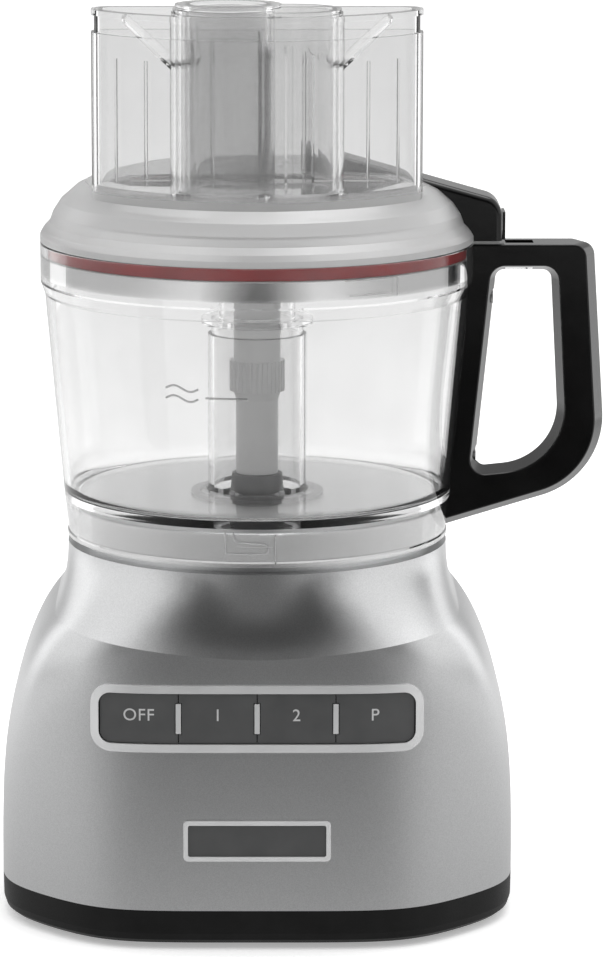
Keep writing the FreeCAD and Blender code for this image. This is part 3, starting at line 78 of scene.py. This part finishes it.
def maths(tree, operation, *values):
    """A Math node, whose inputs are sockets or plain numbers."""
    made = tree.nodes.new("ShaderNodeMath")
    made.operation = operation
    for place, value in enumerate(values):
        if isinstance(value, bpy.types.NodeSocket):
            tree.links.new(value, made.inputs[place])
        else:
            made.inputs[place].default_value = value
    return made


def carried(tree, source, low, high, least, most, kind="LINEAR"):
    """The source, carried from low..high to least..most."""
    made = tree.nodes.new("ShaderNodeMapRange")
    made.interpolation_type = kind
    for socket, value in (("From Min", low), ("From Max", high),
                          ("To Min", least), ("To Max", most)):
        made.inputs[socket].default_value = value
    tree.links.new(source, made.inputs["Value"])
    return made.outputs["Result"]


class Finish:
    """A material whose pattern is worked out by nodes in the part's own coordinates, in metres."""

    def __init__(self, name, **sockets):
        self.material = bpy.data.materials.new(name)
        self.material.use_nodes = True
        self.tree = self.material.node_tree
        self.nodes = self.tree.nodes
        self.links = self.tree.links
        self.shader = self.nodes["Principled BSDF"]
        self.place = self.nodes.new("ShaderNodeTexCoord").outputs["Object"]
        self.relief = None
        for socket, value in sockets.items():
            self.shader.inputs[socket.replace("_", " ")].default_value = value

    def node(self, kind, **inputs):
        made = self.nodes.new(kind)
        for socket, value in inputs.items():
            made.inputs[socket.replace("_", " ")].default_value = value
        return made

    def stretched(self, stretch):
        """The coordinates, scaled apart along each axis."""
        mapping = self.node("ShaderNodeMapping", Scale=stretch)
        self.links.new(self.place, mapping.inputs["Vector"])
        return mapping.outputs["Vector"]

    def height(self):
        """The height above the table, to set a finish apart by level."""
        parts = self.nodes.new("ShaderNodeSeparateXYZ")
        self.links.new(self.place, parts.inputs[0])
        return parts.outputs["Z"]

    def noise(self, size, detail=3.0):
        """Cloudy noise, whose blobs are about size metres across."""
        texture = self.node("ShaderNodeTexNoise", Scale=1 / size, Detail=detail)
        self.links.new(self.place, texture.inputs["Vector"])
        return texture.outputs["Fac"]

    def cells(self, size):
        """One random grey for each cell of about size metres, such as a metal flake."""
        texture = self.node("ShaderNodeTexVoronoi", Scale=1 / size)
        self.links.new(self.place, texture.inputs["Vector"])
        grey = self.nodes.new("ShaderNodeRGBToBW")
        self.links.new(texture.outputs["Color"], grey.inputs["Color"])
        return grey.outputs["Val"]

    def waves(self, size):
        """Level lines, size metres apart, as a lathe leaves on an upright part."""
        texture = self.node("ShaderNodeTexWave", Scale=math.tau / 20 / size,
                            Distortion=1.5, Detail=2.0)
        texture.bands_direction = "Z"
        self.links.new(self.place, texture.inputs["Vector"])
        return texture.outputs["Fac"]

    def colour(self, source, dark, light, low=0.3, high=0.7):
        ramp = self.nodes.new("ShaderNodeValToRGB")
        ramp.color_ramp.elements[0].position = low
        ramp.color_ramp.elements[0].color = (*dark, 1.0)
        ramp.color_ramp.elements[1].position = high
        ramp.color_ramp.elements[1].color = (*light, 1.0)
        self.links.new(source, ramp.inputs["Fac"])
        self.feed("Base Color", ramp.outputs["Color"])
        return self

    def spread(self, source, low, high, least, most):
        return carried(self.tree, source, low, high, least, most)

    def scaled(self, source, factor, base):
        """The source times the factor, plus the base."""
        return maths(self.tree, "MULTIPLY_ADD", source, factor, base).outputs[0]

    def feed(self, socket, source):
        self.links.new(source, self.shader.inputs[socket])

    def rough(self, source, smooth, rough, low=0.3, high=0.7):
        self.feed("Roughness", self.spread(source, low, high, smooth, rough))
        return self

    def bump(self, source, depth):
        """Relief about depth metres deep, on top of any relief so far."""
        bump = self.node("ShaderNodeBump", Distance=depth)
        self.links.new(source, bump.inputs["Height"])
        if self.relief:
            self.links.new(self.relief, bump.inputs["Normal"])
        self.relief = bump.outputs["Normal"]
        self.feed("Normal", self.relief)
        return self

    def light_passes(self, tint):
        """Lamps shine through the clear wall, instead of leaving a shadow behind it."""
        path = self.nodes.new("ShaderNodeLightPath")
        open_wall = self.node("ShaderNodeBsdfTransparent", Color=(*tint, 1.0))
        return self.surface(mixed(self.tree, path.outputs["Is Shadow Ray"],
                                  self.shader.outputs[0], open_wall.outputs[0]))

    def surface(self, source):
        self.links.new(source, self.nodes["Material Output"].inputs["Surface"])
        return self


def grey(level, cool=0.0):
    """A grey, a little bluer where cool is above 0."""
    return (level * (1 - cool), level, level * (1 + cool))


def metallic_paint():
    """Satin silver paint, with flakes that catch the light one by one."""
    paint = Finish("satin_silver", Metallic=1.0)
    flakes = paint.cells(0.35 * MM)
    paint.colour(flakes, grey(0.60, 0.006), grey(0.70, 0.006), 0.1, 0.9)
    paint.rough(paint.noise(90 * MM, 4), 0.29, 0.34)
    paint.bump(flakes, 0.004 * MM)
    return paint.bump(paint.noise(2.2 * MM), 0.006 * MM)


def gloss_black():
    """Polished black plastic, with a shallow moulding ripple."""
    gloss = Finish("gloss_black", Specular_IOR_Level=0.45)
    gloss.colour(gloss.noise(30 * MM), grey(0.003), grey(0.006))
    gloss.rough(gloss.noise(22 * MM, 5), 0.10, 0.17)
    return gloss.bump(gloss.noise(6 * MM, 2), 0.02 * MM)


def moulded(name, dark, light, smooth, rough, grain=0.5, depth=0.02, **sockets):
    """Moulded plastic or rubber with a fine eroded grain."""
    plastic = Finish(name, **sockets)
    plastic.colour(plastic.noise(14 * MM, 5), dark, light)
    fine = plastic.noise(grain * MM, 4)
    plastic.rough(fine, smooth, rough)
    return plastic.bump(fine, depth * MM)


def machined(name, dark, light, smooth, rough, line=0.25, depth=0.006):
    """Metal with the fine lines of turning, rolling or brushing."""
    metal = Finish(name, Metallic=1.0)
    lines = metal.waves(line * MM)
    metal.colour(metal.noise(5 * MM, 4), dark, light)
    metal.rough(lines, smooth, rough, 0.1, 0.9)
    return metal.bump(lines, depth * MM)


def chrome_with_painted_highlight():
    """Bright plated trim, part metal and part white paint: a painted highlight for its bevelled
    edges.
    """
    # painted highlight: only 0.55 metal, so the near-white colour shows as diffuse white where the
    # flat trim would mirror the dark front
    chrome = Finish("trim_with_painted_highlight", Metallic=0.55)
    chrome.colour(chrome.noise(18 * MM, 3), grey(0.88, 0.004), grey(0.94, 0.004))
    chrome.rough(chrome.noise(6 * MM, 4), 0.05, 0.10)
    return chrome.bump(chrome.noise(9 * MM, 2), 0.008 * MM)


RIPPLE = 0.02 * MM
CLEAR_IOR = 1.47


def clear_plastic(name, dark, light, smooth, rough):
    """Polished polycarbonate, with the faint flow ripple of a moulding."""
    clear = Finish(name, Transmission_Weight=1.0, IOR=CLEAR_IOR)
    clear.colour(clear.noise(40 * MM, 3), dark, light)
    clear.rough(clear.noise(16 * MM, 4), smooth, rough)
    clear.bump(clear.noise(24 * MM, 2), RIPPLE)
    return clear.light_passes(grey(0.92))


def below_seal(finish, up):
    """1 below the lid's seal, and 0 from there up."""
    seal_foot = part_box("lid_seal")[0].z
    return finish.spread(up, seal_foot - 0.6 * MM, seal_foot - 0.1 * MM, 1.0, 0.0)


def lid_plastic():
    """Clear in the feed tube, and milky in the dome below it, greyed there as painted shade for
    the dark front it mirrors. Its skirt, below the seal, is part metal as a painted reflection: it
    mirrors what is in front, standing in for a clear wall against a clear wall."""
    lid = Finish("lid_polycarbonate", IOR=CLEAR_IOR)
    up = lid.height()
    dome_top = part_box("large_pusher")[0].z
    haze_and_painted_shade = lid.spread(up, dome_top - 1 * MM, dome_top + 3 * MM, 1.0, 0.0)
    cloud = lid.noise(40 * MM, 1)
    # painted shade: the milky dome runs to a darker grey, standing in for the dark front it
    # mirrors
    lid.colour(lid.scaled(cloud, 0.25, haze_and_painted_shade), grey(0.97), grey(0.70), 0.2, 1.1)
    lid.feed("Transmission Weight", lid.scaled(haze_and_painted_shade, -0.30, 1.0))
    # painted reflection: part metal below the seal, and a little in the dome, to mirror the dark
    # front
    lid.feed("Metallic", lid.scaled(below_seal(lid, up), 0.40, lid.scaled(haze_and_painted_shade, 0.10, 0.0)))
    patches = lid.spread(lid.noise(30 * MM, 1), 0.3, 0.7, 0.26, 0.32)
    lid.feed("Roughness", lid.scaled(haze_and_painted_shade, patches, 0.025))
    lid.bump(lid.noise(24 * MM, 2), RIPPLE)
    return lid.light_passes(grey(0.88))


def bowl_plastic():
    """Clear. The band under its rim and its foot are part metal as a painted reflection: they
    mirror what is in front, standing in for a wall close to another wall."""
    bowl = Finish("bowl_polycarbonate", Transmission_Weight=1.0, IOR=CLEAR_IOR)
    bowl.colour(bowl.noise(40 * MM, 3), grey(0.875), grey(0.915))
    bowl.rough(bowl.noise(16 * MM, 4), 0.015, 0.04)
    bowl.bump(bowl.noise(24 * MM, 2), RIPPLE)
    up = bowl.height()
    skirt_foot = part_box("lid")[0].z
    seat_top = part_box("bowl_seat")[1].z
    # painted reflection: part metal in the band under the rim and at the foot, mirroring the dark
    # front
    over_foot = bowl.spread(up, skirt_foot - 0.2 * MM, skirt_foot + 0.3 * MM, 0.0, 0.60)
    foot = bowl.spread(up, seat_top - 0.5 * MM, seat_top + 0.5 * MM, 0.45, 0.0)
    bowl.feed("Metallic", bowl.scaled(below_seal(bowl, up), over_foot, foot))
    return bowl.light_passes(grey(0.92))


def frosted_plastic():
    """White translucent plastic, moulded with a satin skin."""
    frosted = Finish("frosted_white", Transmission_Weight=0.15, IOR=CLEAR_IOR)
    frosted.colour(frosted.noise(20 * MM, 4), grey(0.90), grey(0.96))
    frosted.rough(frosted.noise(1.0 * MM, 4), 0.30, 0.42)
    return frosted.bump(frosted.noise(0.6 * MM, 3), 0.006 * MM)


FINISHES = {
    "silver_paint": metallic_paint(),
    "black_plastic": gloss_black(),
    "black_matte": moulded("matte_black", grey(0.004), grey(0.008), 0.42, 0.55, 0.6, 0.03,
                           Specular_IOR_Level=0.25),
    "dark_grey": moulded("satin_dark_grey", grey(0.070, 0.01), grey(0.085, 0.01), 0.36, 0.46,
                         0.35, 0.010),
    # chrome: plated trim with a painted highlight
    "chrome": chrome_with_painted_highlight(),
    "steel": machined("machined_steel", grey(0.50), grey(0.62), 0.22, 0.36),
    "lamination": machined("lamination_stack", grey(0.20), grey(0.34), 0.40, 0.60, 0.5, 0.05),
    "cast_alloy": moulded("cast_alloy", grey(0.50), grey(0.62), 0.42, 0.60, 0.8, 0.05,
                          Metallic=1.0),
    "copper": machined("enamelled_copper", (0.42, 0.16, 0.07), (0.60, 0.26, 0.12), 0.25, 0.40,
                       0.6, 0.1),
    "rubber": moulded("soft_rubber", grey(0.016), grey(0.026), 0.62, 0.78, 0.4, 0.02),
    "seal_red": moulded("silicone_red", (0.27, 0.008, 0.010), (0.36, 0.014, 0.016), 0.38, 0.50,
                        0.8, 0.01),
    "clear_plastic": clear_plastic("clear_polycarbonate", grey(0.945), grey(0.965), 0.015, 0.04),
    "frosted_plastic": frosted_plastic(),
    "board_green": moulded("circuit_board", (0.010, 0.055, 0.022), (0.016, 0.085, 0.036), 0.30,
                           0.45, 1.2, 0.02),
    "white_plastic": moulded("matte_white", grey(0.68), grey(0.76), 0.45, 0.58),
}
INNER_CLEAR = clear_plastic("pusher_polycarbonate", grey(0.915), grey(0.935), 0.015, 0.04)
SPECIAL_FINISHES = {
    "lid": lid_plastic(),
    "work_bowl": bowl_plastic(),
    # the bars take the same plated trim with its painted highlight
    "separator_bars": FINISHES["chrome"],
    "medium_pusher": INNER_CLEAR,
    "small_pusher": INNER_CLEAR,
}
for name, node in NODES.items():
    slot = node.material_slots[0]
    slot.material = SPECIAL_FINISHES.get(name, FINISHES[slot.material.name]).material


# ---------------------------------------------------------------- added pieces

FAR_OUT = 1.0  # in front of the part: where the lines start that feel for its front
CLOSE_BY = 0.05  # the same, in front of a button
INWARD, OUTWARD = (0, 1, 0), (0, -1, 0)


def surface_of(node):
    """The node's rest surface, to lay marks on."""
    mesh = NODES[node].data
    mesh.calc_loop_triangles()
    corners = [v.co.copy() for v in mesh.vertices]
    return BVHTree.FromPolygons(corners, [tuple(t.vertices) for t in mesh.loop_triangles])


def piece(name, mesh, body, finish):
    """An added piece that moves with a body."""
    made = bpy.data.objects.new(name, mesh)
    bpy.context.scene.collection.objects.link(made)
    mesh.materials.clear()
    mesh.materials.append(finish.material)
    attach(made, body)
    return made


INK = moulded("pad_printed_ink", grey(0.50), grey(0.58), 0.45, 0.60, 0.3, 0.004)
INK_HEIGHT = 0.05 * MM  # thickness of the print, and how far it stands off the button
LABEL_SIZE = 7.6 * MM
LABEL_RAISE = 1.7 * MM  # above the middle of the button
LABEL_SPACING = 1.08


def wall_of(surface, x, y, z, way=INWARD):
    """Where a line from a place first meets the surface, and the way the surface faces there."""
    hit, normal, _, _ = surface.ray_cast(Vector((x, y, z)), Vector(way))
    return hit, normal


def mesh_of(curve):
    """The mesh that a text or a thick line makes."""
    drawn = bpy.data.objects.new(curve.name + "_drawn", curve)
    bpy.context.scene.collection.objects.link(drawn)
    bpy.context.view_layer.update()
    mesh = bpy.data.meshes.new_from_object(drawn)
    bpy.data.objects.remove(drawn)
    return mesh


def label(name, words, node, body):
    """Words printed on the front of a button."""
    curve = bpy.data.curves.new(name, "FONT")
    curve.body = words
    curve.size = LABEL_SIZE
    curve.align_x = "CENTER"
    curve.align_y = "CENTER"
    curve.space_character = LABEL_SPACING
    mesh = mesh_of(curve)
    low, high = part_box(node)
    centre = (low + high) / 2
    front = surface_of(node)
    across = [v.co.x for v in mesh.vertices]
    up = [v.co.y for v in mesh.vertices]
    middle_x, middle_z = (min(across) + max(across)) / 2, (min(up) + max(up)) / 2
    shape = bmesh.new()
    shape.from_mesh(mesh)
    bmesh.ops.triangulate(shape, faces=shape.faces[:])
    for v in shape.verts:
        x, z = centre.x + v.co.x - middle_x, centre.z + LABEL_RAISE + v.co.y - middle_z
        hit, normal = wall_of(front, x, low.y - CLOSE_BY, z)
        v.co = Vector((x, hit.y, z)) + normal * INK_HEIGHT
    bmesh.ops.solidify(shape, geom=shape.faces[:], thickness=INK_HEIGHT)
    bmesh.ops.recalc_face_normals(shape, faces=shape.faces[:])
    shape.to_mesh(mesh)
    shape.free()
    return piece(name, mesh, body, INK)


for words, which in (("OFF", "off"), ("1", "low"), ("2", "high"), ("P", "pulse")):
    label("label_" + which, words, "button_" + which, "button_" + which)


BEAD_STEP = 1.5  # millimetres from point to point of a bead


def bead(name, paths, node, body, width, finish, sunk=0.3, start=None):
    """Rounded lines moulded on a front wall: outside, or inside if there is a start, which is
    the y of a place behind the wall. Each path is a list of x and z in millimetres. Sunk is how
    deep the middle lies, in widths."""
    surface = surface_of(node)
    y, way = (-FAR_OUT, INWARD) if start is None else (start, OUTWARD)
    curve = bpy.data.curves.new(name, "CURVE")
    curve.dimensions = "3D"
    curve.bevel_depth = width / 2
    curve.bevel_resolution = 3
    curve.use_fill_caps = True
    for path in paths:
        spots = []
        for (x, z), (next_x, next_z) in zip(path, path[1:] + path[-1:]):
            steps = max(1, round(math.hypot(next_x - x, next_z - z) / BEAD_STEP))
            spots += [(x + (next_x - x) * i / steps, z + (next_z - z) * i / steps)
                      for i in range(steps)]
        line = curve.splines.new("POLY")
        line.points.add(len(spots) - 1)
        for point, (x, z) in zip(line.points, spots):
            hit, normal = wall_of(surface, x * MM, y, z * MM, way)
            point.co = (*(hit - normal * width * sunk), 1.0)
    mesh = mesh_of(curve)
    mesh.shade_smooth()
    return piece(name, mesh, body, finish)


MARK = clear_plastic("moulded_mark", grey(0.62), grey(0.70), 0.05, 0.12)
WAVE_START, WAVE_LENGTH, WAVE_SWING, WAVE_POINTS = -39.7, 14.1, 1.3, 12
waves = [[(WAVE_START + WAVE_LENGTH * i / WAVE_POINTS,
           height + WAVE_SWING * math.sin(math.tau * i / WAVE_POINTS))
          for i in range(WAVE_POINTS + 1)]
         for height in (251.0, 246.5)]
level_bar = [(-22.4, 247.2), (-4.1, 247.2)]
track_slot = [(-14.0, 187.0), (-14.0, 177.8), (-13.4, 177.4), (3.6, 177.2), (4.8, 178.2),
              (4.8, 180.6), (3.4, 181.8), (-8.4, 182.6), (-9.8, 183.6), (-10.4, 187.0)]
track_edge = [(8.1, 173.0), (8.1, 186.0)]
lug_edge = [(38.0, 298.6), (61.0, 298.6), (61.0, 290.5)]
lug_step = [(40.0, 292.0), (58.0, 292.0)]
for name, paths, width in (("level_mark", [*waves, level_bar], 0.9 * MM),
                           ("bayonet_track", [track_slot, track_edge], 0.7 * MM),
                           ("latch_lug", [lug_edge, lug_step], 0.7 * MM)):
    bead(name, paths, "work_bowl", "bowl", width, MARK)

spring = piece("squeezed_spring", NODES["interlock_spring"].data.copy(), "bowl", FINISHES["steel"])
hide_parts("interlock_spring")
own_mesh(spring)

RIB_WIDTH = 1.7 * MM
RIB_FOOT = 336.0
for name, node, spots, start, top in (
        ("outer_ribs", "large_pusher", (-60.0, 60.0), -40.0, 391.0),
        ("inner_ribs", "large_pusher", (-47.2, 47.2), -50.0, 391.0),
        ("cup_ribs", "small_pusher", (-18.3, 0.4), -51.0, 404.0),
        ("pocket_rib", "medium_pusher", (19.7,), -51.0, 396.0)):
    bead(name, [[(x, RIB_FOOT), (x, top)] for x in spots], node, node, RIB_WIDTH,
         FINISHES["clear_plastic"], 0.1, start * MM)


# ---------------------------------------------------------------- floor, light, camera

FLOOR_REACH = 30.0
FLOOR_GLOW = 0.35  # what the camera alone sees the table glow, to make it white
DARK_SPOT = (0.0, -0.9, 0.0)  # on the stretched table: what gloss mirrors is dark about here
SPOT_STRETCH = (1.2, 0.6, 1.0)
# Each row: from, to, brightness at from, brightness at to.
FLOOR_MIRROR = (0.35, 1.25, 0.02, 0.95)  # by distance from the dark spot
FLOOR_FAR = (1.5, 2.4, 1.0, 0.6)  # the same, further off
FRONT_SHADE = (-0.96, -0.42, 0.0, 1.05)  # by the world direction's Y, which is -1 in front
BACK_SHADE = (0.35, 0.95, 1.0, 0.5)
HIGH_SHADE = (0.30, 0.80, 1.0, 0.35)  # by the world direction's Z, which is 1 overhead


def make_floor():
    """A white table top. In a reflection it has a dark spot in front of the part, and dims
    far off."""
    mesh = bpy.data.meshes.new("floor")
    level = CAD_BOX[0].z
    corners = [(x * FLOOR_REACH, y * FLOOR_REACH, level)
               for x, y in ((-1, -1), (1, -1), (1, 1), (-1, 1))]
    mesh.from_pydata(corners, [], [(0, 1, 2, 3)])
    paper = Finish("paper_white", Emission_Color=(1, 1, 1, 1))
    paper.colour(paper.noise(0.4, 3), grey(0.90), grey(0.93))
    paper.rough(paper.noise(2 * MM, 2), 0.85, 0.95)
    distance = paper.nodes.new("ShaderNodeVectorMath")
    distance.operation = "DISTANCE"
    paper.links.new(paper.stretched(SPOT_STRETCH), distance.inputs[0])
    distance.inputs[1].default_value = DARK_SPOT
    mirrored = paper.nodes.new("ShaderNodeEmission")
    shades = [paper.spread(distance.outputs["Value"], *row) for row in (FLOOR_MIRROR, FLOOR_FAR)]
    strength = maths(paper.tree, "MULTIPLY", *shades)
    paper.links.new(strength.outputs[0], mirrored.inputs["Strength"])
    path = paper.nodes.new("ShaderNodeLightPath")
    glow = paper.spread(path.outputs["Is Camera Ray"], 0.0, 1.0, 0.0, FLOOR_GLOW)
    paper.feed("Emission Strength", glow)
    mirrors = maths(paper.tree, "SUBTRACT", path.outputs["Is Glossy Ray"],
                    path.outputs["Is Transmission Ray"])
    mirrors.use_clamp = True
    paper.surface(mixed(paper.tree, mirrors.outputs[0], paper.shader.outputs[0],
                        mirrored.outputs[0]))
    mesh.materials.append(paper.material)
    floor = bpy.data.objects.new("floor", mesh)
    bpy.context.scene.collection.objects.link(floor)


def make_world():
    """A white studio. What gloss mirrors is dim in front, where the camera and its dark wall are.
    What shows through the clear walls is white near the horizon and dimmer overhead."""
    world = bpy.data.worlds.new("studio")
    world.use_nodes = True
    bpy.context.scene.world = world
    tree = world.node_tree
    nodes, links = tree.nodes, tree.links
    parts = nodes.new("ShaderNodeSeparateXYZ")
    links.new(nodes.new("ShaderNodeTexCoord").outputs["Generated"], parts.inputs["Vector"])
    mirrored, through = nodes["Background"], nodes.new("ShaderNodeBackground")
    backdrop = nodes.new("ShaderNodeBackground")
    for background in (mirrored, through, backdrop):
        background.inputs["Color"].default_value = (1, 1, 1, 1)
    shades = [carried(tree, parts.outputs["Y"], *row, "SMOOTHSTEP")
              for row in (FRONT_SHADE, BACK_SHADE)]
    links.new(maths(tree, "MULTIPLY", *shades).outputs[0], mirrored.inputs["Strength"])
    high = carried(tree, parts.outputs["Z"], *HIGH_SHADE, "SMOOTHSTEP")
    links.new(high, through.inputs["Strength"])
    path = nodes.new("ShaderNodeLightPath")
    so_far = mirrored.outputs[0]
    for ray, background in (("Is Transmission Ray", through), ("Is Camera Ray", backdrop)):
        so_far = mixed(tree, path.outputs[ray], so_far, background.outputs[0])
    links.new(so_far, nodes["World Output"].inputs["Surface"])


def aimed(thing, target):
    thing.rotation_euler = (target - thing.location).to_track_quat("-Z", "Y").to_euler()


# Each lamp: name, place, size, watts. All of them shine at the middle of the part.
LAMPS = (("top_box", (0.2, 0.3, 2.2), (1.6, 1.6), 25),
         ("right_strip", (1.0, 0.8, 0.4), (0.5, 1.2), 1.2),
         ("left_strip", (-1.0, 0.8, 0.4), (0.5, 1.2), 1.2))
LAMP_TARGET = Vector((0, 0, 0.2))


def make_lamp(name, place, size, power):
    lamp = bpy.data.lights.new(name, "AREA")
    lamp.shape = "RECTANGLE"
    lamp.size, lamp.size_y = size
    lamp.energy = power
    made = bpy.data.objects.new(name, lamp)
    bpy.context.scene.collection.objects.link(made)
    made.location = place
    aimed(made, LAMP_TARGET)


CAMERA_PLACE = Vector((0, -2.0475, 0.5839))
CAMERA_TARGET = Vector((0, 0, 0.1948))
CAMERA_LENS = 172.3
CAMERA_SHIFT = 0.0474
LIGHT_BOUNCES = 24  # enough to pass through all the nested clear walls


def make_camera():
    camera = bpy.data.cameras.new("camera")
    camera.lens = CAMERA_LENS
    camera.shift_x = CAMERA_SHIFT
    made = bpy.data.objects.new("camera", camera)
    bpy.context.scene.collection.objects.link(made)
    made.location = CAMERA_PLACE
    aimed(made, CAMERA_TARGET)
    bpy.context.scene.camera = made


scene = bpy.context.scene
scene.view_settings.view_transform = "Standard"
scene.cycles.max_bounces = LIGHT_BOUNCES
scene.cycles.transmission_bounces = LIGHT_BOUNCES
scene.cycles.transparent_max_bounces = LIGHT_BOUNCES
make_floor()
make_world()
for lamp in LAMPS:
    make_lamp(*lamp)
make_camera()
